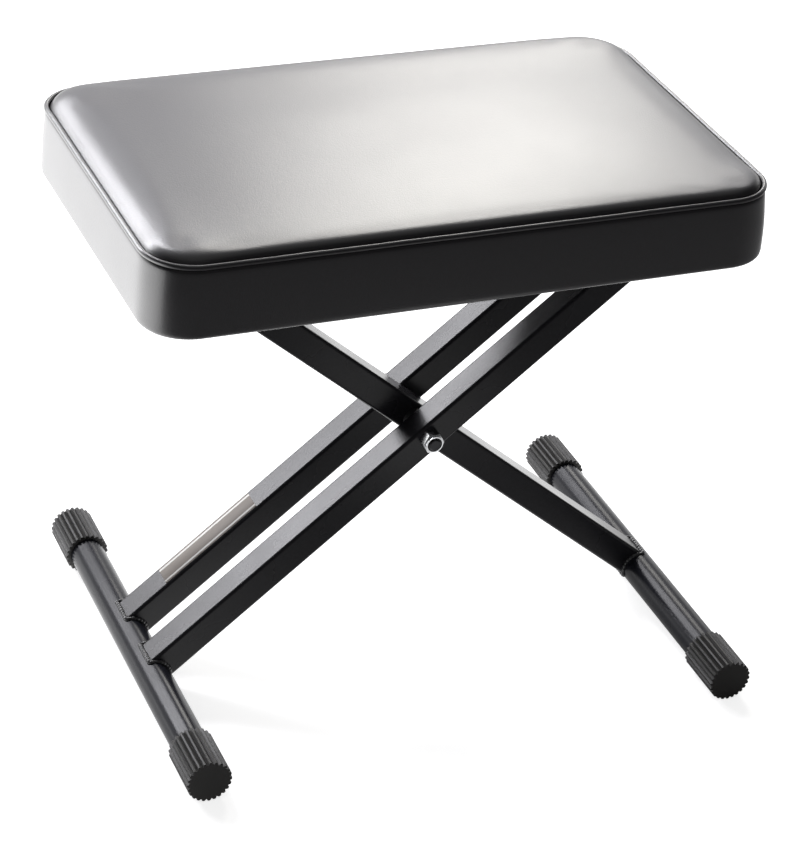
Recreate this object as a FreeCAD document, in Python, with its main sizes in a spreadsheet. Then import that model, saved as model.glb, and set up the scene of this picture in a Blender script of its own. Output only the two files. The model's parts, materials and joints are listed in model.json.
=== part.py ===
"""Folding bench: cushioned seat on a scissor frame of square tube with rubber-capped feet.

Millimetres, +Z up. X runs along the seat, Y from front to rear. The origin is on the
floor, under the middle of the whole bench.
"""
import os

import FreeCAD, Part
import Sketcher
from FreeCAD import Placement, Rotation, Vector

HALF_PI = 1.5707963267948966
TUCK_STEPS = 3
BELLY_STEPS = 4

doc = FreeCAD.newDocument("FoldingBench")

# Driving dimensions in millimetres and degrees
DIMENSIONS = {
    # Square leg tubes
    "tube_width": 25.0,
    "tube_wall": 1.5,
    "tube_corner": 2.5,
    # Scissor frame: arms are measured along a leg from the centre bolt
    "leg_angle": 39.7,
    "lower_arm": 294.0,
    "upper_arm": 255.0,
    "leg_overrun": 12.0,
    "leg_gap": 6.0,
    "plug_depth": 6.0,
    # Round foot tubes and their ribbed rubber caps
    "foot_diameter": 28.5,
    "foot_wall": 1.5,
    "feet_span": 369.0,
    "cap_diameter": 36.5,
    "cap_length": 46.0,
    "cap_end": 4.5,
    "cap_ribs": 24,
    "rib_depth": 2.2,
    "rib_gap": 4.4,
    "cap_chamfer": 0.4,
    # Bolts, nuts, sleeves and washers
    "bolt_diameter": 10.0,
    "head_flats": 16.0,
    "head_height": 6.4,
    "bevel_diameter": 15.4,
    "nut_height": 8.0,
    "collar_height": 1.6,
    "collar_diameter": 14.4,
    "insert_diameter": 12.4,
    "insert_height": 2.0,
    "bolt_showing": 1.2,
    "bolt_tip_bevel": 0.8,
    "sleeve_diameter": 14.0,
    "spacer_diameter": 22.0,
    "washer_diameter": 20.0,
    "washer_thickness": 1.5,
    # Cross rod and its notches
    "rod_diameter": 10.0,
    "rod_length": 92.0,
    "notch_count": 3,
    "notch_pitch": 25.0,
    "notch_slope": 14.0,
    "notch_lip": 6.0,
    "notch_end_wall": 7.0,
    "notch_ramp": 36.0,
    # Seat: margins from the hinge bolt and the outermost notch to the ends, then its outline and levels
    "hinge_margin": 28.2,
    "notch_margin": 79.0,
    "seat_depth": 310.0,
    "seat_corner": 42.0,
    "axis_drop": 24.6,
    "board_thickness": 12.0,
    "board_inset": 10.5,
    "boxing_height": 56.7,
    "boxing_draw_in": 3.0,
    "boxing_tuck": 6.0,
    "cover_thickness": 1.2,
    "cover_turn_under": 26.0,
    "piping_diameter": 4.2,
    "crown_height": 9.3,
    # Pressed steel brackets under the seat
    "plate_thickness": 2.5,
    "bracket_flange": 26.0,
    "ear_length": 44.0,
    "ear_radius": 12.5,
    "ear_lower_angle": 40.0,
    "ear_upper_angle": 75.0,
    "web_end_depth": 5.0,
    "comb_offset": 30.0,
    "screw_diameter": 4.2,
    "screw_length": 11.0,
    "screw_head_diameter": 9.0,
    "screw_head_height": 3.0,
    "screw_edge": 9.0,
    # Clearances
    "running_fit": 0.06,
    "loose_fit": 0.2,
    "seam_gap": 0.2,
    "touch_gap": 0.05,
    "rod_clearance": 0.3,
}

sheet = doc.addObject("Spreadsheet::Sheet", "Sizes")
for row, (alias, number) in enumerate(DIMENSIONS.items(), start=1):
    sheet.set(f"A{row}", alias)
    sheet.set(f"B{row}", str(number))
    sheet.setAlias(f"B{row}", alias)
doc.recompute()

# Levels and places that follow from the driving dimensions
S = "Sizes."
TUBE = f"{S}tube_width"
FOOT_AXIS_Z = f"({S}cap_diameter / 2)"
FOOT_REACH = f"({S}lower_arm * cos({S}leg_angle))"
PIVOT_Z = f"({FOOT_AXIS_Z} + {S}lower_arm * sin({S}leg_angle))"
HINGE_REACH = f"({S}upper_arm * cos({S}leg_angle))"
PIVOT_X = f"(({HINGE_REACH} + {S}notch_margin - {FOOT_REACH} - {S}cap_diameter / 2) / 2)"
HINGE_X = f"({PIVOT_X} + {HINGE_REACH})"
ROD_X = f"({PIVOT_X} - {HINGE_REACH})"
AXIS_Z = f"({PIVOT_Z} + {S}upper_arm * sin({S}leg_angle))"
OUTER_LEG_Y = f"({TUBE} + {S}leg_gap)"
OUTER_FACE_Y = f"({OUTER_LEG_Y} + {TUBE} / 2)"
SEAT_WIDTH = f"(2 * {HINGE_REACH} + {S}hinge_margin + {S}notch_margin)"
SEAT_X = f"({PIVOT_X} + ({S}hinge_margin - {S}notch_margin) / 2)"
BOARD_Z = f"({AXIS_Z} + {S}axis_drop)"
UNDERSIDE_Z = f"({BOARD_Z} - {S}cover_thickness)"
BOLT_RADIUS = f"({S}bolt_diameter / 2)"
EAR_Y = f"({OUTER_FACE_Y} + {S}washer_thickness + 2 * {S}seam_gap)"

nodes = {}


def value(formula):
    """Number that a formula on the sheet gives."""
    return float(sheet.evalExpression(formula))


def keep(name, shape_object):
    """Gives a finished sub-part its own label and lists it for export."""
    shape_object.Label = name
    nodes[name] = shape_object
    return shape_object


def bind(target, **formulas):
    """Binds properties of an object to formulas on the sheet."""
    for prop, formula in formulas.items():
        target.setExpression(prop.replace("__", "."), formula)


def place(target, x="0", y="0", z="0", axis=(0, 0, 1), angle="0"):
    """Places an object at a bound position, turned about one axis by a bound angle."""
    target.Placement = Placement(Vector(), Rotation(Vector(*axis), value(angle)))
    bind(target, Placement__Base__x=x, Placement__Base__y=y, Placement__Base__z=z)
    if angle not in ("0", "90"):
        bind(target, Placement__Rotation__Angle=angle)


def new_body(name):
    return keep(name, doc.addObject("PartDesign::Body", name))


def new_sketch(body, plane, name, offset=None):
    """Sketch on one of the body's own origin planes, moved along its normal."""
    sketch = body.newObject("Sketcher::SketchObject", name)
    support = [part for part in body.Origin.OriginFeatures if part.Role == plane][0]
    sketch.AttachmentSupport = [(support, "")]
    sketch.MapMode = "FlatFace"
    if offset:
        sketch.AttachmentOffset = Placement(Vector(0, 0, value(offset)), Rotation())
        bind(sketch, AttachmentOffset__Base__z=offset)
    return sketch


def pin(sketch, element, end, x, y):
    """Holds one point of a sketch at bound coordinates."""
    for kind, formula in (("DistanceX", x), ("DistanceY", y)):
        if formula is None:
            continue
        index = sketch.addConstraint(Sketcher.Constraint(kind, -1, 1, element, end, value(formula)))
        sketch.setExpression(f"Constraints[{index}]", formula)


def add_circle(sketch, x, y, radius):
    centre = Vector(value(x), value(y), 0)
    circle = sketch.addGeometry(Part.Circle(centre, Vector(0, 0, 1), value(radius)), False)
    pin(sketch, circle, 3, x, y)
    index = sketch.addConstraint(Sketcher.Constraint("Radius", circle, value(radius)))
    sketch.setExpression(f"Constraints[{index}]", radius)
    return circle


def add_polygon(sketch, corners):
    """Closed outline of straight lines through bound corners."""
    points = [Vector(value(x), value(y), 0) for x, y in corners]
    lines = []
    for start, end in zip(points, points[1:] + points[:1]):
        lines.append(sketch.addGeometry(Part.LineSegment(start, end), False))
    for here, after in zip(lines, lines[1:] + lines[:1]):
        sketch.addConstraint(Sketcher.Constraint("Coincident", here, 2, after, 1))
    for line, (x, y) in zip(lines, corners):
        pin(sketch, line, 1, x, y)


def add_rounded_rectangle(sketch, width, height, radius, x="0", y="0"):
    """Rectangle with rounded corners about a bound centre."""
    half_w = value(width) / 2
    half_h = value(height) / 2
    r = value(radius)
    cx = value(x)
    cy = value(y)
    right = cx + half_w
    left = cx - half_w
    top = cy + half_h
    bottom = cy - half_h
    sides = [
        ((left + r, bottom), (right - r, bottom)),
        ((right, bottom + r), (right, top - r)),
        ((right - r, top), (left + r, top)),
        ((left, top - r), (left, bottom + r)),
    ]
    centres = [(right - r, bottom + r), (right - r, top - r), (left + r, top - r), (left + r, bottom + r)]
    lines = []
    arcs = []
    for side, ((start, end), centre) in enumerate(zip(sides, centres)):
        segment = Part.LineSegment(Vector(*start, 0), Vector(*end, 0))
        lines.append(sketch.addGeometry(segment, False))
        circle = Part.Circle(Vector(*centre, 0), Vector(0, 0, 1), r)
        first = (side - 1) * HALF_PI
        arcs.append(sketch.addGeometry(Part.ArcOfCircle(circle, first, first + HALF_PI), False))
    for side in range(4):
        following = (side + 1) % 4
        sketch.addConstraint(Sketcher.Constraint("Tangent", lines[side], 2, arcs[side], 1))
        sketch.addConstraint(Sketcher.Constraint("Tangent", arcs[side], 2, lines[following], 1))
        direction = "Horizontal" if side % 2 == 0 else "Vertical"
        sketch.addConstraint(Sketcher.Constraint(direction, lines[side]))
    for arc in arcs[1:]:
        sketch.addConstraint(Sketcher.Constraint("Equal", arcs[0], arc))
    index = sketch.addConstraint(Sketcher.Constraint("Radius", arcs[0], r))
    sketch.setExpression(f"Constraints[{index}]", radius)
    pin(sketch, lines[0], 1, None, f"{y} - {height} / 2")
    pin(sketch, lines[1], 1, f"{x} + {width} / 2", None)
    pin(sketch, lines[2], 1, None, f"{y} + {height} / 2")
    pin(sketch, lines[3], 1, f"{x} - {width} / 2", None)


def pad(body, sketch, length, name="Pad", midplane=False, reverse=False):
    feature = body.newObject("PartDesign::Pad", name)
    feature.Profile = sketch
    feature.Length = value(length)
    feature.Midplane = midplane
    feature.Reversed = reverse
    bind(feature, Length=length)
    sketch.Visibility = False
    return feature


def pocket(body, sketch, length, name="Pocket", midplane=False, reverse=False):
    """Cuts a sketch out of a body and stops if nothing was cut."""
    doc.recompute()
    before = body.Shape.Volume
    feature = body.newObject("PartDesign::Pocket", name)
    feature.Profile = sketch
    feature.Length = value(length)
    feature.Midplane = midplane
    feature.Reversed = reverse
    bind(feature, Length=length)
    doc.recompute()
    if not feature.Shape.Volume < before - 0.01:
        raise ValueError(f"{body.Label}: {name} cuts nothing")
    return feature


def cylinder(name, radius, height):
    solid = doc.addObject("Part::Cylinder", name)
    bind(solid, Radius=radius, Height=height)
    return solid


def cut(name, base, tool):
    result = doc.addObject("Part::Cut", name)
    result.Base = base
    result.Tool = tool
    return result


def fuse(name, solids):
    result = doc.addObject("Part::MultiFuse", name)
    result.Shapes = solids
    return result


def ring(name, outer, bore, height):
    """Plain washer, sleeve or spacer about its own axis."""
    return cut(name, cylinder(name + "_outside", outer, height), cylinder(name + "_bore", bore, height))


# Legs of the scissor frame


def square_tube(name, pivot_radius, top_radius):
    """Square leg tube along its own X, mitred round the foot tube and cross-drilled."""
    body = new_body(name)
    profile = new_sketch(body, "YZ_Plane", name + "_section", f"-{S}lower_arm")
    add_rounded_rectangle(profile, TUBE, TUBE, f"{S}tube_corner")
    bore = f"({TUBE} - 2 * {S}tube_wall)"
    add_rounded_rectangle(profile, bore, bore, f"({S}tube_corner - {S}tube_wall)")
    pad(body, profile, f"{S}lower_arm + {S}upper_arm + {S}leg_overrun", "Tube")
    saddle = new_sketch(body, "XZ_Plane", name + "_saddle")
    add_circle(saddle, f"-{S}lower_arm", "0", f"({S}foot_diameter / 2 + {S}touch_gap)")
    pocket(body, saddle, f"2 * {TUBE}", "Saddle", midplane=True)
    drill = new_sketch(body, "XZ_Plane", name + "_holes")
    add_circle(drill, "0", "0", pivot_radius)
    add_circle(drill, f"{S}upper_arm", "0", top_radius)
    pocket(body, drill, f"2 * {TUBE}", "Holes", midplane=True)
    return body


def tube_plug(name):
    """Plastic plug pushed into a leg's open top end."""
    body = new_body(name)
    clear = f"{S}touch_gap"
    shank = new_sketch(body, "YZ_Plane", name + "_shank", f"{S}upper_arm + {S}leg_overrun")
    inner = f"({TUBE} - 2 * {S}tube_wall - 2 * {clear})"
    add_rounded_rectangle(shank, inner, inner, f"({S}tube_corner - {S}tube_wall - {clear})")
    pad(body, shank, f"{S}plug_depth", "Shank", reverse=True)
    head = new_sketch(body, "YZ_Plane", name + "_head", f"{S}upper_arm + {S}leg_overrun")
    add_rounded_rectangle(head, TUBE, TUBE, f"{S}tube_corner")
    pad(body, head, f"{S}tube_wall", "Head")
    return body


def stand_leg(piece, y, angle):
    place(piece, x=PIVOT_X, y=y, z=PIVOT_Z, axis=(0, -1, 0), angle=angle)


bolt_hole = f"({BOLT_RADIUS} + {S}loose_fit / 2)"
for side, sign in (("front", "-"), ("rear", "")):
    leg_y = f"{sign}{OUTER_LEG_Y}"
    stand_leg(square_tube(f"outer_leg_{side}", bolt_hole, f"({BOLT_RADIUS} + {S}running_fit)"), leg_y,
              f"{S}leg_angle")
    stand_leg(tube_plug(f"outer_leg_plug_{side}"), leg_y, f"{S}leg_angle")

inner_angle = f"(180 - {S}leg_angle)"
sleeve_hole = f"({S}sleeve_diameter / 2 + {S}touch_gap)"
rod_hole = f"({S}rod_diameter / 2 + {S}touch_gap)"
stand_leg(square_tube("inner_leg", sleeve_hole, rod_hole), "0", inner_angle)
stand_leg(tube_plug("inner_leg_plug"), "0", inner_angle)


# Feet


def foot_tube(name, x):
    """Round tube across the bench, open at both ends under its caps."""
    body = new_body(name)
    profile = new_sketch(body, "XZ_Plane", name + "_section")
    add_circle(profile, "0", "0", f"({S}foot_diameter / 2)")
    add_circle(profile, "0", "0", f"({S}foot_diameter / 2 - {S}foot_wall)")
    pad(body, profile, f"{S}feet_span - 2 * {S}cap_end", "Tube", midplane=True)
    place(body, x=x, z=FOOT_AXIS_Z)


def foot_cap(name, x, front):
    """Rubber cap: a blind sleeve with V grooves cut all round between its ribs."""
    body = new_body(name)
    outline = new_sketch(body, "XY_Plane", name + "_outline")
    add_circle(outline, "0", "0", f"({S}cap_diameter / 2)")
    blank = pad(body, outline, f"{S}cap_length", "Blank")
    doc.recompute()
    rim = [f"Edge{number}" for number, edge in enumerate(blank.Shape.Edges, start=1)
           if edge.isClosed() and edge.CenterOfMass.z > value(f"{S}cap_length / 2")]
    chamfer = body.newObject("PartDesign::Chamfer", "RimChamfer")
    chamfer.Base = (blank, rim)
    chamfer.Size = value(f"{S}cap_chamfer")
    bind(chamfer, Size=f"{S}cap_chamfer")
    bore = new_sketch(body, "XY_Plane", name + "_bore")
    add_circle(bore, "0", "0", f"({S}foot_diameter / 2 + {S}touch_gap)")
    pocket(body, bore, f"{S}cap_length - {S}cap_end", "Bore", reverse=True)
    groove = new_sketch(body, "XY_Plane", name + "_groove")
    outside = f"({S}cap_diameter / 2 + {S}rib_depth / 4)"
    root = f"({S}cap_diameter / 2 - {S}rib_depth)"
    # The first groove lies half a pitch round, so that the bench stands on ribs
    turn = f"(180 / {S}cap_ribs)"
    corners = [(root, "0"), (outside, f"({S}rib_gap / 2)"), (outside, f"(-{S}rib_gap / 2)")]
    add_polygon(groove, [(f"{along} * cos({turn}) - {across} * sin({turn})",
                          f"{along} * sin({turn}) + {across} * cos({turn})") for along, across in corners])
    groove_cut = pocket(body, groove, f"{S}cap_length", "Groove", reverse=True)
    pattern = body.newObject("PartDesign::PolarPattern", "Ribs")
    pattern.Originals = [groove_cut]
    pattern.Axis = (outline, ["N_Axis"])
    pattern.Angle = 360
    pattern.Occurrences = int(value(f"{S}cap_ribs"))
    bind(pattern, Occurrences=f"{S}cap_ribs")
    body.Tip = pattern
    inner_end = f"({S}feet_span / 2 - {S}cap_length)"
    if front:
        place(body, x=x, y=f"-{inner_end}", z=FOOT_AXIS_Z, axis=(1, 0, 0), angle="90")
    else:
        place(body, x=x, y=inner_end, z=FOOT_AXIS_Z, axis=(-1, 0, 0), angle="90")


for foot, foot_x in (("left", f"({PIVOT_X} - {FOOT_REACH})"), ("right", f"({PIVOT_X} + {FOOT_REACH})")):
    foot_tube(f"{foot}_foot_tube", foot_x)
    foot_cap(f"{foot}_foot_cap_front", foot_x, True)
    foot_cap(f"{foot}_foot_cap_rear", foot_x, False)


# Bolts and nuts: each is drawn along +Z and turned to lie along Y


def lay_along_y(piece, x, y, z):
    """Turns a piece's own +Z to point to the front."""
    place(piece, x=x, y=y, z=z, axis=(1, 0, 0), angle="90")


def hexagon(name, height):
    """Hexagon prism with its corners turned off at the top, at 30 degrees."""
    prism = doc.addObject("Part::Prism", name + "_hexagon")
    prism.Polygon = 6
    bind(prism, Circumradius=f"{S}head_flats / sqrt(3)", Height=height)
    turned = doc.addObject("Part::Cone", name + "_turning")
    bind(turned, Radius1=f"{S}bevel_diameter / 2 + {height} / tan(30)", Radius2=f"{S}bevel_diameter / 2",
         Height=height)
    result = doc.addObject("Part::Common", name + "_blank")
    result.Base = prism
    result.Tool = turned
    return result


def hex_bolt(name, x, z, head_y, length):
    """Hexagon bolt whose head bears at head_y on the rear and whose shank runs to the front."""
    head = hexagon(name, f"{S}head_height")
    head.Placement = Placement(Vector(), Rotation(Vector(1, 0, 0), 180))
    shank = cylinder(name + "_shank", BOLT_RADIUS, f"{length} - {S}bolt_tip_bevel")
    tip = doc.addObject("Part::Cone", name + "_tip")
    bind(tip, Radius1=BOLT_RADIUS, Radius2=f"{BOLT_RADIUS} - {S}bolt_tip_bevel", Height=f"{S}bolt_tip_bevel",
         Placement__Base__z=f"{length} - {S}bolt_tip_bevel")
    bolt = keep(name, fuse(name, [head, shank, tip]))
    lay_along_y(bolt, x, head_y, z)
    return bolt


def lock_nut(name, x, z, face_y):
    """Lock nut with a round collar that grips a nylon ring."""
    bore = f"({BOLT_RADIUS} + {S}touch_gap)"
    collar = cylinder(name + "_collar", f"{S}collar_diameter / 2", f"{S}nut_height + {S}collar_height")
    blank = fuse(name + "_outside", [hexagon(name, f"{S}nut_height"), collar])
    bored = cut(name + "_bored", blank, cylinder(name + "_bore", bore, f"2 * {S}nut_height"))
    seat = cylinder(name + "_seat", f"({S}insert_diameter / 2 + {S}touch_gap)", f"2 * {S}nut_height")
    bind(seat, Placement__Base__z=f"{S}nut_height - {S}collar_height / 2")
    nut = keep(name, cut(name, bored, seat))
    lay_along_y(nut, x, f"-{face_y}", z)
    insert = keep(name + "_insert", ring(name + "_insert", f"{S}insert_diameter / 2", bore,
                                         f"{S}insert_height"))
    lay_along_y(insert, x, f"-({face_y} + {S}nut_height - {S}collar_height / 2)", z)


nut_stack = f"({S}nut_height + {S}collar_height + {S}bolt_showing)"
hex_bolt("pivot_bolt", PIVOT_X, PIVOT_Z, OUTER_FACE_Y, f"2 * {OUTER_FACE_Y} + {nut_stack}")
lock_nut("pivot_nut", PIVOT_X, PIVOT_Z, OUTER_FACE_Y)

ear_outside = f"({EAR_Y} + {S}plate_thickness + {S}seam_gap)"
hex_bolt("hinge_bolt", HINGE_X, AXIS_Z, ear_outside, f"2 * {ear_outside} + {nut_stack}")
lock_nut("hinge_nut", HINGE_X, AXIS_Z, ear_outside)

running_bore = f"({BOLT_RADIUS} + {S}running_fit)"
pivot_sleeve = keep("pivot_sleeve", ring("pivot_sleeve", f"{S}sleeve_diameter / 2", running_bore, TUBE))
lay_along_y(pivot_sleeve, PIVOT_X, f"{TUBE} / 2", PIVOT_Z)

spacer_thickness = f"({S}leg_gap - {S}loose_fit)"
for side, back_y in (("front", f"-({TUBE} / 2 + {S}loose_fit)"), ("rear", f"({TUBE} / 2 + {S}leg_gap)")):
    spacer = keep(f"pivot_spacer_{side}", ring(f"pivot_spacer_{side}", f"{S}spacer_diameter / 2",
                                               bolt_hole, spacer_thickness))
    lay_along_y(spacer, PIVOT_X, back_y, PIVOT_Z)

gap_between_legs = f"(2 * ({OUTER_LEG_Y} - {TUBE} / 2 - {S}loose_fit))"
hinge_sleeve = keep("hinge_sleeve", ring("hinge_sleeve", f"{S}sleeve_diameter / 2",
                                         f"({BOLT_RADIUS} + {S}touch_gap)", gap_between_legs))
lay_along_y(hinge_sleeve, HINGE_X, f"{gap_between_legs} / 2", AXIS_Z)

for side, back_y in (("front", f"-({OUTER_FACE_Y} + {S}seam_gap)"),
                     ("rear", f"({OUTER_FACE_Y} + {S}seam_gap + {S}washer_thickness)")):
    washer = keep(f"hinge_washer_{side}", ring(f"hinge_washer_{side}", f"{S}washer_diameter / 2",
                                               f"({BOLT_RADIUS} + {S}touch_gap)", f"{S}washer_thickness"))
    lay_along_y(washer, HINGE_X, back_y, AXIS_Z)

# Cross rod through the inner leg's top, which rests in the notches
cross_rod = keep("cross_rod", cylinder("cross_rod", f"{S}rod_diameter / 2", f"{S}rod_length"))
lay_along_y(cross_rod, ROD_X, f"{S}rod_length / 2", AXIS_Z)


# Seat


def seat_section(body, name, height, inset):
    """Outline of the seat at a height above its board's underside, drawn in by inset."""
    section = new_sketch(body, "XY_Plane", name, height)
    width = f"({SEAT_WIDTH} - 2 * ({inset}))"
    depth = f"({S}seat_depth - 2 * ({inset}))"
    corner = f"({S}seat_corner * (1 - 2 * ({inset}) / {S}seat_depth))"
    add_rounded_rectangle(section, width, depth, corner)
    return section


def seat_loft(body, name, levels, remove=False):
    """Joins seat outlines, given as heights and insets, into one skin of narrow bands."""
    sections = [seat_section(body, f"{name}_{number}", height, inset)
                for number, (height, inset) in enumerate(levels)]
    kind = "PartDesign::SubtractiveLoft" if remove else "PartDesign::AdditiveLoft"
    loft = body.newObject(kind, name)
    loft.Profile = sections[0]
    loft.Sections = sections[1:]
    loft.Ruled = True
    return loft


def seat_plate(body, name, inset, bottom, thickness):
    """Flat plate with the seat's outline."""
    pad(body, seat_section(body, name, bottom, inset), thickness, name + "_pad")


def place_on_seat(piece):
    place(piece, x=SEAT_X, z=BOARD_Z)


COVER = f"{S}cover_thickness"
PIPING_RADIUS = f"({S}piping_diameter / 2)"
BOXING_TOP = f"({S}boxing_height - {PIPING_RADIUS} - {S}seam_gap)"
PANEL_INSET = f"({S}boxing_draw_in + {PIPING_RADIUS} + {S}seam_gap)"
# Shares of the crown's height and of the half depth at which the top panel rises
CROWN = [
    (0.0, 0.0),
    (0.24, 0.01),
    (0.46, 0.027),
    (0.63, 0.047),
    (0.75, 0.075),
    (0.85, 0.17),
    (0.94, 0.36),
    (1.0, 0.68),
]


def side_levels(draw_in, floor="0"):
    """Heights and insets of the side band: a rounded lower edge, then a belly up to the piping."""
    levels = []
    for step in range(TUCK_STEPS):
        turn = f"({90 * step / TUCK_STEPS})"
        height = f"({S}boxing_tuck * (1 - cos({turn})))" if step else floor
        levels.append((height, f"({S}boxing_tuck * (1 - sin({turn})) + {draw_in})"))
    for step in range(BELLY_STEPS + 1):
        height = f"({S}boxing_tuck + ({BOXING_TOP} - {S}boxing_tuck) * {step / BELLY_STEPS})"
        levels.append((height, f"({S}boxing_draw_in * (1 - cos({90 * step / BELLY_STEPS})) + {draw_in})"))
    return levels


def crown_levels(draw_in, start, top):
    """Heights and insets of the crown between the piping and its summit."""
    levels = []
    for share, run in CROWN:
        height = f"({start} + ({top} - {start}) * {share})"
        inset = f"({PANEL_INSET} + {draw_in} + ({S}seat_depth / 2 - {PANEL_INSET}) * {run})"
        levels.append((height, inset))
    return levels


CROWN_TOP = f"({S}boxing_height + {S}crown_height)"
FOAM_GAP = f"({COVER} + {S}seam_gap)"

board = new_body("seat_board")
seat_plate(board, "board_outline", f"{S}board_inset", "0", f"{S}board_thickness")
place_on_seat(board)

boxing = new_body("seat_boxing")
seat_loft(boxing, "boxing_outside", side_levels("0", f"-{COVER}"))
seat_loft(boxing, "boxing_inside", side_levels(COVER), remove=True)
opening = seat_section(boxing, "turn_under_opening", "0", f"{S}cover_turn_under")
pocket(boxing, opening, f"2 * {COVER}", "TurnUnder")
place_on_seat(boxing)

panel = new_body("seat_top_panel")
seat_loft(panel, "panel_outside", crown_levels("0", f"{S}boxing_height", CROWN_TOP))
seat_loft(panel, "panel_inside",
          crown_levels(COVER, f"{S}boxing_height", f"({CROWN_TOP} - {COVER})"), remove=True)
place_on_seat(panel)

foam = new_body("seat_foam")
seat_loft(foam, "foam_side", side_levels(FOAM_GAP))
seat_loft(foam, "foam_crown", crown_levels(FOAM_GAP, BOXING_TOP, f"({CROWN_TOP} - {FOAM_GAP})"))
recess = seat_section(foam, "board_recess", "0", f"{S}board_inset - {S}touch_gap")
pocket(foam, recess, f"{S}board_thickness + {S}touch_gap", "BoardRecess", reverse=True)
place_on_seat(foam)

piping = new_body("seat_piping")
welt_line = seat_section(piping, "welt_line", f"{S}boxing_height", f"{S}boxing_draw_in")
bead = new_sketch(piping, "YZ_Plane", "welt_bead")
add_circle(bead, f"-({S}seat_depth / 2 - {S}boxing_draw_in)", f"{S}boxing_height", PIPING_RADIUS)
pipe = piping.newObject("PartDesign::AdditivePipe", "Piping")
pipe.Profile = bead
pipe.Spine = (welt_line, [f"Edge{number}" for number in range(1, 9)])
place_on_seat(piping)

dust_cover = new_body("dust_cover")
seat_plate(dust_cover, "dust_cover_outline", f"{S}cover_turn_under + {S}seam_gap",
           f"-{S}cover_thickness", f"{S}cover_thickness")
place_on_seat(dust_cover)


# Brackets under the seat: X and Z are measured from the bolt or rod that each one holds


def angle_bracket(name, x, web_y, side_sign, outline, span):
    """Pressed angle: a web beside the leg or rod, and a flange that is screwed to the board."""
    body = new_body(name)
    reverse = side_sign == ""
    web = new_sketch(body, "XZ_Plane", name + "_web")
    add_polygon(web, outline)
    pad(body, web, f"{S}plate_thickness", "Web", reverse=reverse)
    left, right = span
    flange = new_sketch(body, "XY_Plane", name + "_flange", f"{S}axis_drop - {S}cover_thickness")
    edge = f"{side_sign}{S}bracket_flange"
    add_polygon(flange, [(left, "0"), (right, "0"), (right, edge), (left, edge)])
    pad(body, flange, f"{S}plate_thickness", "Flange", reverse=True)
    place(body, x=x, y=f"{side_sign}{web_y}", z=AXIS_Z)
    return body


def flange_holes(body, name, places, side_sign):
    drill = new_sketch(body, "XY_Plane", name + "_screw_holes", f"{S}axis_drop")
    for along in places:
        add_circle(drill, along, f"{side_sign}({S}bracket_flange - {S}screw_edge)",
                   f"({S}screw_diameter / 2 + {S}loose_fit / 2)")
    pocket(body, drill, f"{S}cover_thickness + 2 * {S}plate_thickness", "ScrewHoles")


web_top = f"({S}axis_drop - {S}cover_thickness)"
# The hinge web slopes down from its flange into a round ear about the bolt
hinge_outline = [
    (f"-{S}ear_length", web_top),
    (f"-{S}ear_length", f"({web_top} - {S}web_end_depth)"),
    (f"-{S}ear_radius * sin({S}ear_lower_angle)", f"-{S}ear_radius * cos({S}ear_lower_angle)"),
    (f"{S}ear_radius * sin({S}ear_upper_angle)", f"{S}ear_radius * cos({S}ear_upper_angle)"),
    ("0", web_top),
]
hinge_screws = [f"-({S}ear_length - {S}screw_edge)", f"-{S}screw_edge"]

notch_radius = f"({S}rod_diameter / 2 + {S}rod_clearance)"
comb_left = f"-({notch_radius} + {S}notch_end_wall)"
comb_right = f"(({S}notch_count - 1) * {S}notch_pitch + {S}notch_ramp)"
comb_outline = [
    (comb_left, web_top),
    (comb_left, f"-{S}notch_lip"),
    (comb_right, f"-{S}notch_lip"),
    (comb_right, web_top),
]
comb_screws = [
    f"({comb_left} + {S}screw_edge)",
    f"({comb_right} - {S}screw_edge)",
]


def cut_notches(body, name):
    """Cuts the saw-tooth notches: a steep outer wall, a round seat and a ramp to the inside."""
    ramp_start = (f"{notch_radius} * sin({S}notch_slope)", f"{notch_radius} * cos({S}notch_slope)")
    depth = f"({S}notch_lip + {S}rod_diameter)"
    ramp_end = f"({ramp_start[0]} + ({ramp_start[1]} + {depth}) / tan({S}notch_slope))"
    ramp = new_sketch(body, "XZ_Plane", name + "_ramp")
    add_polygon(ramp, [(f"-{notch_radius}", f"-{depth}"), (f"-{notch_radius}", "0"), ramp_start,
                       (ramp_end, f"-{depth}")])
    ramp_cut = pocket(body, ramp, f"3 * {S}plate_thickness", "Ramp", midplane=True)
    seat = new_sketch(body, "XZ_Plane", name + "_seat")
    add_circle(seat, "0", "0", notch_radius)
    seat_cut = pocket(body, seat, f"3 * {S}plate_thickness", "Seat", midplane=True)
    pattern = body.newObject("PartDesign::LinearPattern", "Notches")
    pattern.Originals = [ramp_cut, seat_cut]
    pattern.Direction = (ramp, ["H_Axis"])
    bind(pattern, Length=f"({S}notch_count - 1) * {S}notch_pitch", Occurrences=f"{S}notch_count")
    body.Tip = pattern


for side, sign in (("front", "-"), ("rear", "")):
    name = f"hinge_bracket_{side}"
    bracket = angle_bracket(name, HINGE_X, EAR_Y, sign, hinge_outline, (f"-{S}ear_length", "0"))
    ear = new_sketch(bracket, "XZ_Plane", name + "_ear")
    add_circle(ear, "0", "0", f"{S}ear_radius")
    pad(bracket, ear, f"{S}plate_thickness", "Ear", reverse=sign == "")
    bolt_cut = new_sketch(bracket, "XZ_Plane", name + "_bolt_hole")
    add_circle(bolt_cut, "0", "0", f"({BOLT_RADIUS} + {S}running_fit)")
    pocket(bracket, bolt_cut, f"3 * {S}plate_thickness", "BoltHole", midplane=True)
    flange_holes(bracket, name, hinge_screws, sign)

    name = f"notch_bracket_{side}"
    comb = angle_bracket(name, ROD_X, f"{S}comb_offset", sign, comb_outline, (comb_left, comb_right))
    flange_holes(comb, name, comb_screws, sign)
    cut_notches(comb, name)


# Screws up through the flanges into pilot holes in the board


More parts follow.
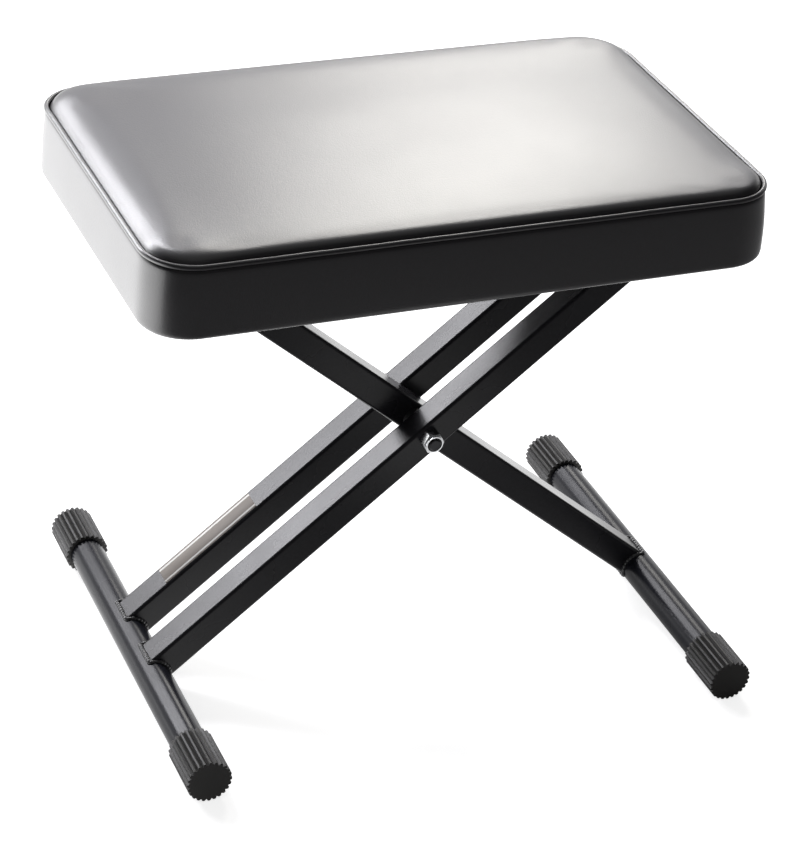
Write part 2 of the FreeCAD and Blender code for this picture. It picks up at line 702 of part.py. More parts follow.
def screw_places():
    """Places of all bracket screws, as formulas in the bench's own frame."""
    places = []
    for sign in ("-", ""):
        for along in hinge_screws:
            places.append((f"({HINGE_X} + {along})",
                           f"{sign}({EAR_Y} + {S}bracket_flange - {S}screw_edge)"))
        for along in comb_screws:
            places.append((f"({ROD_X} + {along})",
                           f"{sign}({S}comb_offset + {S}bracket_flange - {S}screw_edge)"))
    return places


screws = []
for number, (screw_x, screw_y) in enumerate(screw_places()):
    shank = cylinder(f"screw_{number}_shank", f"{S}screw_diameter / 2", f"{S}screw_length")
    head = doc.addObject("Part::Cone", f"screw_{number}_head")
    bind(head, Radius1=f"{S}screw_head_diameter / 3", Radius2=f"{S}screw_head_diameter / 2",
         Height=f"{S}screw_head_height")
    bind(head, Placement__Base__z=f"-{S}screw_head_height")
    screw = fuse(f"screw_{number}", [shank, head])
    place(screw, x=screw_x, y=screw_y, z=f"{UNDERSIDE_Z} - {S}plate_thickness")
    screws.append(screw)
bracket_screws = keep("bracket_screws", doc.addObject("Part::Compound", "bracket_screws"))
bracket_screws.Links = screws

for body, name in ((board, "board"), (dust_cover, "dust_cover")):
    pilot = new_sketch(body, "XY_Plane", name + "_pilot_holes", f"-{S}cover_thickness")
    for screw_x, screw_y in screw_places():
        add_circle(pilot, f"({screw_x} - {SEAT_X})", screw_y, f"({S}screw_diameter / 2 + {S}touch_gap)")
    pocket(body, pilot, f"{S}screw_length", "PilotHoles", reverse=True)

doc.recompute()
doc.recompute()


# Every object is tested before anything is written


def is_sound(piece):
    shape = piece.Shape
    return not shape.isNull() and shape.isValid() and shape.Volume > 0


faults = [thing.Name for thing in doc.Objects if "Invalid" in thing.State or "Error" in thing.State]
faults += [name for name, piece in nodes.items() if not is_sound(piece)]
if faults:
    raise ValueError(f"faulty objects: {faults}")

os.makedirs("parts", exist_ok=True)
for name, piece in nodes.items():
    piece.Shape.exportStep(f"parts/{name}.step")
    box = piece.Shape.BoundBox
    print(f"{name}: {len(piece.Shape.Solids)} solid, {piece.Shape.Volume / 1000:.2f} cm3, "
          f"x {box.XMin:.1f} to {box.XMax:.1f}, y {box.YMin:.1f} to {box.YMax:.1f}, "
          f"z {box.ZMin:.1f} to {box.ZMax:.1f}")
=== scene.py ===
"""Folding keyboard bench: a vinyl cushion on a crossed frame of square steel tube.

Metres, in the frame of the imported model: X along the seat, Y to the rear, Z up.
"""

import json
import math

import bmesh
import bpy
from mathutils import Matrix, Quaternion, Vector, noise


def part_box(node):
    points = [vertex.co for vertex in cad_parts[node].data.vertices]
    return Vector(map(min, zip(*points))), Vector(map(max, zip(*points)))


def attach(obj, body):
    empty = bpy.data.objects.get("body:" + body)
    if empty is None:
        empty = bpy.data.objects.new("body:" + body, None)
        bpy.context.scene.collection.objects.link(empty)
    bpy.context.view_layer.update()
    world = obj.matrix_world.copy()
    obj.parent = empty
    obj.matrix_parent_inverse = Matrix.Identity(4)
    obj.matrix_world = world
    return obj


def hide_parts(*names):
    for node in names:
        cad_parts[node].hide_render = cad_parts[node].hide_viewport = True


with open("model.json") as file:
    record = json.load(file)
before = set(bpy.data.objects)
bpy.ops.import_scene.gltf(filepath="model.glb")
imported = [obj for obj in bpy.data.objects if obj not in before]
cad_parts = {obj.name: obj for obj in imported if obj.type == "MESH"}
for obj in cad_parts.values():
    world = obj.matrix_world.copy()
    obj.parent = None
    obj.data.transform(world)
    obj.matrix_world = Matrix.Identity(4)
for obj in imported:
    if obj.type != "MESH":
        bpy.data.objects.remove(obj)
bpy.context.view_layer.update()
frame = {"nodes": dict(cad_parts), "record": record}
nodes = frame["nodes"]

MM = 0.001


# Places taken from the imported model


def middle(node):
    """Centre of a CAD node's box."""
    low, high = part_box(node)
    return (Vector(low) + Vector(high)) / 2


def half_size(node):
    """Half the size of a CAD node's box."""
    low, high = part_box(node)
    return (Vector(high) - Vector(low)) / 2


BELLY = half_size("seat_boxing")  # of the seat at its widest
SEAT_MIDDLE = middle("seat_boxing")
SEAT_MIDDLE.z = 0
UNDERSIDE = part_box("seat_boxing")[0][2]
CROWN_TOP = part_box("seat_top_panel")[1][2]
PIPING_RADIUS = half_size("seat_piping").z
WELT_HEIGHT = middle("seat_piping").z
WELT_INSET = BELLY.x - half_size("seat_piping").x + PIPING_RADIUS
TURN_UNDER = BELLY.x - half_size("dust_cover").x
BOARD_INSET = BELLY.x - half_size("seat_board").x
BOARD_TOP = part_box("seat_board")[1][2]
BOARD_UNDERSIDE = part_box("seat_board")[0][2]
SEAT_CORNER = 41 * MM  # corner radius of the outline at the piping, seen from above
BELLY_CORNER = 38 * MM  # the same from BELLY_DROP under the piping down
BELLY_DROP = 25 * MM

PIVOT = middle("pivot_sleeve")
LEFT_FOOT = middle("left_foot_tube")
RIGHT_FOOT = middle("right_foot_tube")
FOOT_RADIUS = half_size("left_foot_tube").x
TUBE_HALF = half_size("inner_leg").y
OUTER_LEG_Y = middle("outer_leg_rear").y
RISE_RIGHT = Vector((PIVOT.x - LEFT_FOOT.x, 0, PIVOT.z - LEFT_FOOT.z)).normalized()
RISE_LEFT = Vector((PIVOT.x - RIGHT_FOOT.x, 0, PIVOT.z - RIGHT_FOOT.z)).normalized()


# Small helpers


def add_object(name, data):
    """New object in the scene."""
    made = bpy.data.objects.new(name, data)
    bpy.context.scene.collection.objects.link(made)
    return made


def add_mesh(name, bm, material):
    """Turns a bmesh into an object at its place."""
    mesh = bpy.data.meshes.new(name)
    bm.to_mesh(mesh)
    bm.free()
    mesh.materials.append(material)
    return add_object(name, mesh)


def new_piece(name, bm, material, body):
    """Turns a bmesh into a smooth piece that rides on a body and takes its finish from a slot."""
    piece = add_mesh(name, bm, material)
    for face in piece.data.polygons:
        face.use_smooth = True
    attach(piece, body)
    return piece


def add_block(bm, size, place, bevel=0.0, segments=2):
    """Adds a bevelled block of a size, moved by a matrix."""
    verts = bmesh.ops.create_cube(bm, size=1.0)["verts"]
    bmesh.ops.scale(bm, vec=size, verts=verts)
    if bevel:
        edges = list({edge for vert in verts for edge in vert.link_edges})
        made = bmesh.ops.bevel(bm, geom=edges, offset=bevel, segments=segments, profile=0.5,
                               affect="EDGES", material=-1)
        verts = list({vert for face in made["faces"] for vert in face.verts}
                     | {vert for vert in verts if vert.is_valid})
    bmesh.ops.transform(bm, matrix=place, verts=verts)


# Shader building


def add_node(tree, kind, inputs=None, **settings):
    """Adds a shader node, sets its options, and fills or links its inputs."""
    shader_node = tree.nodes.new(kind)
    for name, setting in settings.items():
        setattr(shader_node, name, setting)
    for name, given in (inputs or {}).items():
        socket = shader_node.inputs[name]
        if isinstance(given, bpy.types.NodeSocket):
            tree.links.new(given, socket)
        else:
            socket.default_value = given
    return shader_node


def add_math(tree, operation, *terms):
    """Output of a Math node whose terms are numbers or sockets."""
    return add_node(tree, "ShaderNodeMath", dict(enumerate(terms)), operation=operation).outputs[0]


def add_range(tree, value, from_low, from_high, to_low=0.0, to_high=1.0):
    """Value moved gently from one range into another."""
    spread = add_node(tree, "ShaderNodeMapRange", {
        "Value": value, "From Min": from_low, "From Max": from_high, "To Min": to_low, "To Max": to_high,
    }, interpolation_type="SMOOTHSTEP")
    return spread.outputs["Result"]


def object_place(tree):
    """Coordinates of a shaded point on its own object."""
    return add_node(tree, "ShaderNodeTexCoord").outputs["Object"]


def add_noise(tree, place, scale, detail, distortion=0.0):
    """Noise texture, which gives both a number and a colour."""
    return add_node(tree, "ShaderNodeTexNoise", {"Vector": place, "Scale": scale, "Detail": detail,
                                                 "Distortion": distortion})


def add_bump(tree, height, strength, distance, invert=False):
    """Normal of a surface with small heights on it."""
    bump = add_node(tree, "ShaderNodeBump", {"Strength": strength, "Distance": distance, "Height": height},
                    invert=invert)
    return bump.outputs["Normal"]


def new_group(name, inputs, outputs):
    """Empty shader group with number inputs and typed outputs."""
    group = bpy.data.node_groups.new(name, "ShaderNodeTree")
    for socket, default in inputs.items():
        item = group.interface.new_socket(name=socket, in_out="INPUT", socket_type="NodeSocketFloat")
        item.default_value = default
    for socket, kind in outputs.items():
        group.interface.new_socket(name=socket, in_out="OUTPUT", socket_type=kind)
    entry = group.nodes.new("NodeGroupInput")
    leave = group.nodes.new("NodeGroupOutput")
    return group, entry, leave


GRAIN_DEPTH = 0.2 * MM


def pebble_grain_group():
    """Embossed leather grain: rounded pebbles with creases between them."""
    group, entry, leave = new_group(
        "pebble_grain", {"Scale": 900.0, "Strength": 0.1},
        {"Normal": "NodeSocketVector", "Crease": "NodeSocketFloat"}
    )
    place = object_place(group)
    wander = add_noise(group, place, 300.0, 2.0)
    mixed = add_node(group, "ShaderNodeMix", {"Factor": 0.002}, data_type="VECTOR")
    group.links.new(place, mixed.inputs[4])
    group.links.new(wander.outputs["Color"], mixed.inputs[5])
    cells = add_node(group, "ShaderNodeTexVoronoi", {"Vector": mixed.outputs[1],
                                                     "Scale": entry.outputs["Scale"]}, feature="F1")
    fine = add_noise(group, place, 2600.0, 3.0)
    height = add_math(group, "MULTIPLY_ADD", fine.outputs["Fac"], 0.35, cells.outputs["Distance"])
    normal = add_bump(group, height, entry.outputs["Strength"], GRAIN_DEPTH, invert=True)
    group.links.new(normal, leave.inputs["Normal"])
    # the Crease output is the mask for painted shade in the grain's creases
    group.links.new(cells.outputs["Distance"], leave.inputs["Crease"])
    return group


def fine_bump_group():
    """Fine even bumps, as on powder coat, moulded rubber and nylon."""
    group, entry, leave = new_group(
        "fine_bumps", {"Scale": 500.0, "Strength": 0.1, "Detail": 2.0},
        {"Normal": "NodeSocketVector", "Height": "NodeSocketFloat"}
    )
    bumps = add_noise(group, object_place(group), entry.outputs["Scale"], entry.outputs["Detail"])
    normal = add_bump(group, bumps.outputs["Fac"], entry.outputs["Strength"], GRAIN_DEPTH)
    group.links.new(normal, leave.inputs["Normal"])
    group.links.new(bumps.outputs["Fac"], leave.inputs["Height"])
    return group


def patches_group():
    """Large soft patches between two values, for uneven gloss and handling marks."""
    group, entry, leave = new_group(
        "soft_patches", {"Scale": 12.0, "Low": 0.3, "High": 0.4}, {"Value": "NodeSocketFloat"}
    )
    cloud = add_noise(group, object_place(group), entry.outputs["Scale"], 4.0)
    spread = add_range(group, cloud.outputs["Fac"], 0.2, 0.8, entry.outputs["Low"], entry.outputs["High"])
    group.links.new(spread, leave.inputs["Value"])
    return group


PEBBLES = pebble_grain_group()
BUMPS = fine_bump_group()
PATCHES = patches_group()


def place_group(tree, group, **given):
    """Puts a shader group into a tree with its numbers."""
    used = add_node(tree, "ShaderNodeGroup", node_tree=group)
    for name, number in given.items():
        used.inputs[name].default_value = number
    return used


def new_material(name, colour, roughness, metallic=0.0, **sockets):
    """Principled material with its constants set on the shader's own sockets."""
    material = bpy.data.materials.new(name)
    material.use_nodes = True
    material.diffuse_color = (*colour, 1.0)
    shader = material.node_tree.nodes["Principled BSDF"]
    shader.inputs["Base Color"].default_value = (*colour, 1.0)
    shader.inputs["Roughness"].default_value = roughness
    shader.inputs["Metallic"].default_value = metallic
    for socket, given in sockets.items():
        shader.inputs[socket.replace("_", " ")].default_value = given
    return material, material.node_tree, shader


def tint(tree, factor, low, high):
    """Colour between two by a factor, where the low one may be a socket."""
    mix = add_node(tree, "ShaderNodeMix", data_type="RGBA")
    tree.links.new(factor, mix.inputs[0])
    if isinstance(low, bpy.types.NodeSocket):
        tree.links.new(low, mix.inputs[6])
    else:
        mix.inputs[6].default_value = (*low, 1.0)
    mix.inputs[7].default_value = (*high, 1.0)
    return mix.outputs[2]


def link_finish(tree, shader, colour, normal=None, roughness=None):
    """Links what varies over a surface to its Principled shader."""
    tree.links.new(colour, shader.inputs["Base Color"])
    if normal is not None:
        tree.links.new(normal, shader.inputs["Normal"])
    if roughness is not None:
        tree.links.new(roughness, shader.inputs["Roughness"])


def bumped_material(name, colour, roughness, spread, bump_scale, bump_strength, detail=2.0, **sockets):
    """Material with fine bumps, painted light on their tops, and a gloss that varies in soft patches."""
    material, tree, shader = new_material(name, colour, roughness, **sockets)
    bumps = place_group(tree, BUMPS, Scale=bump_scale, Strength=bump_strength, Detail=detail)
    gloss = place_group(tree, PATCHES, Scale=14.0, Low=roughness - spread, High=roughness + spread)
    # painted light: the tops of the fine bumps are coloured lighter than the hollows
    lit_bump_tops = tuple(min(1.0, part * 1.25 + 0.004) for part in colour)
    link_finish(tree, shader, tint(tree, bumps.outputs["Height"], colour, lit_bump_tops), bumps.outputs["Normal"],
                gloss.outputs["Value"])
    return material


def vinyl_material(name, grain):
    """Black semi-gloss vinyl with a fine leather grain."""
    material, tree, shader = new_material(name, (0.0085, 0.0068, 0.0105), 0.33, Specular_IOR_Level=0.9)
    pebbles = place_group(tree, PEBBLES, Scale=850.0, Strength=grain)
    gloss = place_group(tree, PATCHES, Scale=9.0, Low=0.318, High=0.346)
    # painted shade: the grain's creases are coloured darker than the pebbles between them
    colour = tint(tree, pebbles.outputs["Crease"], (0.0105, 0.0085, 0.013), (0.006, 0.005, 0.0075))
    link_finish(tree, shader, colour, pebbles.outputs["Normal"], gloss.outputs["Value"])
    return material


def plated_material():
    """Bright zinc plate with fine turning marks, and a painted highlight on their ridges."""
    material, tree, shader = new_material("zinc_plate", (0.8, 0.81, 0.82), 0.24, metallic=1.0)
    bumps = place_group(tree, BUMPS, Scale=1400.0, Strength=0.25, Detail=4.0)
    gloss = place_group(tree, PATCHES, Scale=160.0, Low=0.16, High=0.34)
    # painted highlight: the ridges of the turning marks are coloured brighter than the grooves
    colour = tint(tree, bumps.outputs["Height"], (0.74, 0.75, 0.77), (0.88, 0.89, 0.9))
    link_finish(tree, shader, colour, bumps.outputs["Normal"], gloss.outputs["Value"])
    return material


def plywood_material():
    """Plywood: grain along the board and thin plies through its thickness."""
    material, tree, shader = new_material("seat_plywood", (0.6, 0.45, 0.28), 0.7)
    place = object_place(tree)
    stretched = add_node(tree, "ShaderNodeMapping", {"Vector": place, "Scale": (6.0, 70.0, 70.0)})
    grain = add_noise(tree, stretched.outputs["Vector"], 6.0, 6.0)
    height = add_node(tree, "ShaderNodeSeparateXYZ", {"Vector": place})
    # light and dark veneers repeat every 5 mm
    layer = add_math(tree, "SINE", add_math(tree, "MULTIPLY", height.outputs["Z"], 1250.0))
    both = add_math(tree, "MULTIPLY_ADD", layer, 0.25, grain.outputs["Fac"])
    normal = add_bump(tree, grain.outputs["Fac"], 0.2, 0.3 * MM)
    link_finish(tree, shader, tint(tree, both, (0.42, 0.28, 0.15), (0.74, 0.59, 0.4)), normal)
    return material


def lining_material():
    """Black non-woven lining: pressed fibres with a grid of small bond dots."""
    material, tree, shader = new_material("lining_cloth", (0.02, 0.02, 0.021), 0.9, Sheen_Weight=0.25)
    place = object_place(tree)
    fibres = add_noise(tree, place, 900.0, 6.0, distortion=2.0)
    dots = add_node(tree, "ShaderNodeTexVoronoi", {"Vector": place, "Scale": 420.0, "Randomness": 0.15})
    height = add_math(tree, "MULTIPLY", fibres.outputs["Fac"], dots.outputs["Distance"])
    colour = tint(tree, fibres.outputs["Fac"], (0.012, 0.012, 0.013), (0.035, 0.035, 0.037))
    link_finish(tree, shader, colour, add_bump(tree, height, 0.6, 0.4 * MM))
    return material


def strip_material():
    """Self-adhesive strip: brushed grey film with two thin pale lines and no lettering."""
    material, tree, shader = new_material("grey_strip", (0.16, 0.145, 0.13), 0.5, Specular_IOR_Level=0.2)
    place = add_node(tree, "ShaderNodeUVMap", uv_map="along")
    across = add_node(tree, "ShaderNodeSeparateXYZ", {"Vector": place.outputs["UV"]})
    off_middle = add_math(tree, "ABSOLUTE", add_math(tree, "SUBTRACT", across.outputs["Y"], 0.5))
    line = add_math(tree, "COMPARE", off_middle, 0.36, 0.05)
    stretched = add_node(tree, "ShaderNodeMapping", {"Vector": place.outputs["UV"],
                                                     "Scale": (3.0, 160.0, 1.0)})
    brushed = add_noise(tree, stretched.outputs["Vector"], 4.0, 3.0)
    base = tint(tree, brushed.outputs["Fac"], (0.2, 0.178, 0.16), (0.32, 0.29, 0.265))
    link_finish(tree, shader, tint(tree, line, base, (0.85, 0.84, 0.81)))
    return material


VINYL = vinyl_material("seat_vinyl", 0.2)
PIPING_VINYL = vinyl_material("piping_vinyl", 0.06)
POWDER_COAT = bumped_material("powder_coat", (0.013, 0.0125, 0.015), 0.27, 0.04, 420.0, 0.1,
                              Specular_IOR_Level=0.3)
# painted shade: the foot tubes wear a copy of the frame paint, a little bluer and with half its specular
# level, so their reflections are dimmer
FOOT_DIMMED_COAT = bumped_material("foot_dimmed_coat", (0.012, 0.0125, 0.017), 0.27, 0.04, 420.0, 0.1,
                            Specular_IOR_Level=0.14)
# painted highlight: the weld beads wear a copy of the frame paint about four times lighter
WELD_LIT_COAT = bumped_material("weld_lit_coat", (0.05, 0.05, 0.052), 0.22, 0.05, 900.0, 0.35, detail=4.0)
# the bolts take a dark, half-metallic finish in place of the zinc plate of their slot
DARK_BOLT_METAL = bumped_material("dark_bolt_metal", (0.03, 0.03, 0.033), 0.3, 0.05, 1200.0, 0.25, metallic=0.6)
RUBBER = bumped_material("cap_rubber", (0.022, 0.021, 0.02), 0.5, 0.06, 1100.0, 0.3, detail=4.0,
                         Specular_IOR_Level=0.35)
NYLON = bumped_material("black_nylon", (0.02, 0.02, 0.021), 0.5, 0.05, 900.0, 0.15)
FOAM = bumped_material("cushion_foam", (0.72, 0.68, 0.55), 0.95, 0.03, 700.0, 0.8, detail=6.0)
ZINC = plated_material()
PLYWOOD = plywood_material()
LINING = lining_material()
STRIP = strip_material()

NODE_MATERIALS = {
    "frame_paint": POWDER_COAT,
    "cap_rubber": RUBBER,
    "plug_plastic": NYLON,
    "plated_steel": ZINC,
    "seat_vinyl": VINYL,
    "board_wood": PLYWOOD,
    "foam": FOAM,
    "underside_cloth": LINING,
}
OWN_MATERIALS = {
    "pivot_bolt": DARK_BOLT_METAL,
    "hinge_bolt": DARK_BOLT_METAL,
    "left_foot_tube": FOOT_DIMMED_COAT,
    "right_foot_tube": FOOT_DIMMED_COAT,
}
for subpart in frame["record"]["subparts"]:
    finish = OWN_MATERIALS.get(subpart["node"], NODE_MATERIALS[subpart["material_slot"]])
    for held in nodes[subpart["node"]].material_slots:
        held.material = finish


# Cushion

PANEL_INSET = WELT_INSET + 1.9 * MM  # top panel's edge
SEAM_DROP = 1.2 * MM  # how far that edge lies under the piping's middle
CROWN_REACH = 130 * MM  # the panel climbs to its crown over this distance
BAND_TOP_INSET = WELT_INSET - 1.1 * MM  # side band's upper edge
SIDE_INSET = 0.2 * MM  # side band's least inset from the CAD box
SIDE_RINGS = 9
TUCK_RADIUS = 5.5 * MM  # the side turns under the board in this radius
TUCK_RINGS = 4
UNDER_INSETS = (12 * MM, 17 * MM, 22 * MM)  # rings across the turned-under edge
GRID_STEP = 5.5 * MM  # spacing of the panel's rows and columns
REAR_PULL = 1.4 * MM  # the rear is drawn in this far
REAR_SAG = 1.0 * MM  # its seam lies this much lower
CORNER_ROUNDING = 2.6 * MM  # the rear right corner is drawn in this far
END_FULLNESS = 1.3 * MM  # the right end's lower part stands out this far
SWELL_ROOM = 0.4 * MM  # furthest that the cloth solver may move a point
SWELL_FRAMES = 20
SMOOTHING_STEPS = 3


def to_outline(x, y, inset=0.0):
    """Moves a point of the seat's rectangle into the outline with round corners.

    Returns the point and the outward direction there. Points in a corner's square are drawn into its
    quarter circle, so that an even grid stays even.
    """
    half_x = BELLY.x - inset
    half_y = BELLY.y - inset
    radius = SEAT_CORNER - inset
    corner_x = abs(x) - (half_x - radius)
    corner_y = abs(y) - (half_y - radius)
    if corner_x <= 0 or corner_y <= 0:
        if corner_x > corner_y:
            return Vector((x, y, 0)), Vector((math.copysign(1, x), 0, 0))
        return Vector((x, y, 0)), Vector((0, math.copysign(1, y), 0))
    u = corner_x / radius
    v = corner_y / radius
    round_x = u * math.sqrt(1 - v * v / 2)
    round_y = v * math.sqrt(1 - u * u / 2)
    spot = Vector((
        math.copysign(half_x - radius + round_x * radius, x),
        math.copysign(half_y - radius + round_y * radius, y),
        0,
    ))
    return spot, Vector((math.copysign(round_x, x), math.copysign(round_y, y), 0)).normalized()


def ease(number, low, high):
    """Share from 0 to 1 that starts and ends gently."""
    share = min(max((number - low) / (high - low), 0), 1)
    return share * share * (3 - 2 * share)


def settle(place):
    """Moves a place by the unevenness of a sewn cover.

    The rear seam is pulled in and down, the rear right corner is rounder, and the right end is full.
    """
    rear = ease(place.y, 100 * MM, 150 * MM)
    right = ease(place.x - SEAT_MIDDLE.x, 165 * MM, 245 * MM)
    high = ease(place.z, UNDERSIDE, WELT_HEIGHT)
    below = 1 - ease(place.z, UNDERSIDE + 15 * MM, WELT_HEIGHT - 4 * MM)
    at_seam = high * (1 - ease(place.z, WELT_HEIGHT, WELT_HEIGHT + 5 * MM))
    rounding = CORNER_ROUNDING * rear * right * (0.4 + 0.6 * high)
    return place + Vector((
        END_FULLNESS * right * below * (1 - rear) - rounding,
        -REAR_PULL * rear - rounding,
        -REAR_SAG * rear * at_seam,
    ))


def crown_height(spot, inset):
    """Height of the top panel over the piping's middle at a point.

    The panel rolls up quickly from its seam, most quickly in front, and then climbs slowly to its crown.
    """
    from_side = max(BELLY.x - inset - abs(spot.x), 0)
    from_front = max(BELLY.y - inset - abs(spot.y), 0)
    corner = SEAT_CORNER - inset
    off = Vector((abs(spot.x) - (BELLY.x - inset - corner), abs(spot.y) - (BELLY.y - inset - corner)))
    if off.x > 0 and off.y > 0:
        from_edge = max(corner - off.length, 0)
        from_side = max(from_side, from_edge)
        from_front = max(from_front, from_edge)
        nearest = from_edge
    else:
        nearest = min(from_side, from_front)
    rear = ease(spot.y, BELLY.y - 90 * MM, BELLY.y - 25 * MM)
    front = ease(-spot.y, BELLY.y - 70 * MM, BELLY.y - 12 * MM)
    left = ease(-spot.x, BELLY.x - 70 * MM, BELLY.x - 12 * MM)
    roll_width = (3 - 0.6 * rear - 1.8 * front + 2 * left) * MM
    roll = 1 - math.exp(-nearest / roll_width)
    climb_x = 1 - (1 - min(from_side / CROWN_REACH, 1)) ** 2
    climb_y = 1 - (1 - min(from_front / CROWN_REACH, 1)) ** 2
    steep = 0.72 + 0.1 * left
    share = steep * roll + (1 - steep) * climb_x * climb_y
    rear_fullness = 1.8 * MM * rear * roll * (1 - 0.8 * climb_y)
    return (CROWN_TOP - WELT_HEIGHT + SEAM_DROP) * share + rear_fullness - SEAM_DROP


def cushion_levels():
    """Heights and insets down the side, from the seam under the piping to inside the board's recess.

    The third value tells whether the pressure may move that ring.
    """
    band_top = WELT_HEIGHT - 2.0 * MM
    levels = [
        (WELT_HEIGHT - 1.6 * MM, PANEL_INSET + 0.4 * MM, False),
        (WELT_HEIGHT - 1.9 * MM, PANEL_INSET - 0.6 * MM, False),
        (band_top, BAND_TOP_INSET, False),
    ]
    tuck_top = UNDERSIDE + TUCK_RADIUS
    for step in range(1, SIDE_RINGS + 1):
        share = step / SIDE_RINGS
        height = band_top + (tuck_top - band_top) * share
        bulge = math.sin(share * math.pi / 2) ** 0.7
        levels.append((height, BAND_TOP_INSET * (1 - bulge) + SIDE_INSET, share < 0.95))
    for step in range(1, TUCK_RINGS + 1):
        turn = step / TUCK_RINGS * math.pi / 2
        levels.append((
            UNDERSIDE + TUCK_RADIUS * (1 - math.sin(turn)),
            TUCK_RADIUS * (1 - math.cos(turn)) + SIDE_INSET,
            False,
        ))
    levels += [(UNDERSIDE, inset, False) for inset in UNDER_INSETS]
    levels += [
        (UNDERSIDE, TURN_UNDER - 0.3 * MM, False),
        (BOARD_UNDERSIDE - 0.1 * MM, TURN_UNDER - 0.3 * MM, False),
        (BOARD_UNDERSIDE - 0.1 * MM, BOARD_INSET - 0.2 * MM, False),
        (BOARD_TOP + 0.2 * MM, BOARD_INSET - 0.2 * MM, False),
    ]
    return levels


def closer_to_rim(share):
    """Moves an even share of the half width outwards, so that rows gather where the panel rolls down."""
    return math.copysign(1 - (1 - min(abs(share), 1)) ** 1.6, share)


def cushion_skin():
    """Closed skin of the cushion: a grid for the top, drawn down ring by ring and closed over the board.

    Returns the bmesh, and the indices of the points that stay held.
    """
    bm = bmesh.new()
    half_x = BELLY.x - PANEL_INSET
    half_y = BELLY.y - PANEL_INSET
    columns = round(2 * half_x / GRID_STEP)
    rows = round(2 * half_y / GRID_STEP)
    top = bmesh.ops.create_grid(bm, x_segments=columns, y_segments=rows, size=1.0)["verts"]
    free = set()
    for vert in top:
        on_rim = max(abs(vert.co.x), abs(vert.co.y)) > 0.9999
        spot, _ = to_outline(half_x * closer_to_rim(vert.co.x), half_y * closer_to_rim(vert.co.y),
                             PANEL_INSET)
        vert.co = (spot.x, spot.y, WELT_HEIGHT + crown_height(spot, PANEL_INSET))
        if not on_rim:
            free.add(vert)
    rim = [edge for edge in bm.edges if edge.is_boundary]
    places = {}
    for edge in rim:
        for vert in edge.verts:
            # a hair past the rim, so that rounding leaves no point inside it
            _, outward = to_outline(vert.co.x * 1.000001, vert.co.y * 1.000001, PANEL_INSET)
            places[vert] = (Vector((vert.co.x, vert.co.y, 0)) + outward * PANEL_INSET, outward)
    for height, inset, moves in cushion_levels():
        made = bmesh.ops.extrude_edge_only(bm, edges=rim)["geom"]
        rim = [item for item in made if isinstance(item, bmesh.types.BMEdge)]
        fresh = [item for item in made if isinstance(item, bmesh.types.BMVert)]
        below = {}
        for vert in fresh:
            neighbours = [edge.other_vert(vert) for edge in vert.link_edges]
            above = next(neighbour for neighbour in neighbours if neighbour in places)
            outline, outward = below[vert] = places[above]
            fall = min((WELT_HEIGHT - height) / BELLY_DROP, 1)
            squarer = (SEAT_CORNER - BELLY_CORNER) * (abs(outward.x) + abs(outward.y) - 1) * fall
            vert.co = outline + outward * (squarer - inset)
            vert.co.z = height
            if moves:
                free.add(vert)
        places = below
    bmesh.ops.triangle_fill(bm, use_beauty=True, edges=rim)
    bmesh.ops.translate(bm, vec=SEAT_MIDDLE, verts=bm.verts)
    for vert in bm.verts:
        if vert.co.z > UNDERSIDE + 1 * MM:
            vert.co = settle(vert.co)
    bmesh.ops.recalc_face_normals(bm, faces=bm.faces)
    bm.verts.index_update()
    held = [vert.index for vert in bm.verts if vert not in free]
    return bm, held


def swell(piece, held, most):
    """Blows a cushion up with the cloth solver, holding its seams, and moves no point further than most."""
    start = [vert.co.copy() for vert in piece.data.vertices]
    seams = piece.vertex_groups.new(name="seams")
    seams.add(held, 1.0, "REPLACE")
    cloth = piece.modifiers.new("swell", "CLOTH")
    cloth.settings.quality = 6
    cloth.settings.mass = 0.3
    cloth.settings.use_pressure = True
    cloth.settings.uniform_pressure_force = 4.0
    cloth.settings.vertex_group_mass = "seams"
    cloth.settings.effector_weights.gravity = 0.0
    cloth.point_cache.frame_start = 1
    cloth.point_cache.frame_end = SWELL_FRAMES
    scene = bpy.context.scene
    for number in range(1, SWELL_FRAMES + 1):
        scene.frame_set(number)
    blown = piece.evaluated_get(bpy.context.evaluated_depsgraph_get()).data
    ends = [vert.co.copy() for vert in blown.vertices]
    piece.modifiers.remove(cloth)
    piece.vertex_groups.remove(seams)
    scene.frame_set(1)
    for vert, before, after in zip(piece.data.vertices, start, ends):
        moved = after - before
        if moved.length > most:
            moved *= most / moved.length
        vert.co = before + moved


def make_cushion():
    """Foam cushion in its vinyl cover, swollen a little by the cloth solver and then smoothed."""
    bm, held = cushion_skin()
    cushion = new_piece("cushion", bm, VINYL, "seat")
    swell(cushion, held, SWELL_ROOM)
    relax = bmesh.new()
    relax.from_mesh(cushion.data)
    relax.verts.ensure_lookup_table()
    still = set(held)
    loose = [vert for vert in relax.verts if vert.index not in still]
    for _ in range(SMOOTHING_STEPS):
        bmesh.ops.smooth_vert(relax, verts=loose, factor=0.5, use_axis_x=True, use_axis_y=True,
                              use_axis_z=True)
    relax.to_mesh(cushion.data)
    relax.free()
    rounding = cushion.modifiers.new("rounding", "SUBSURF")
    rounding.levels = 1
    rounding.render_levels = 1
    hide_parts("seat_foam", "seat_top_panel", "seat_boxing")


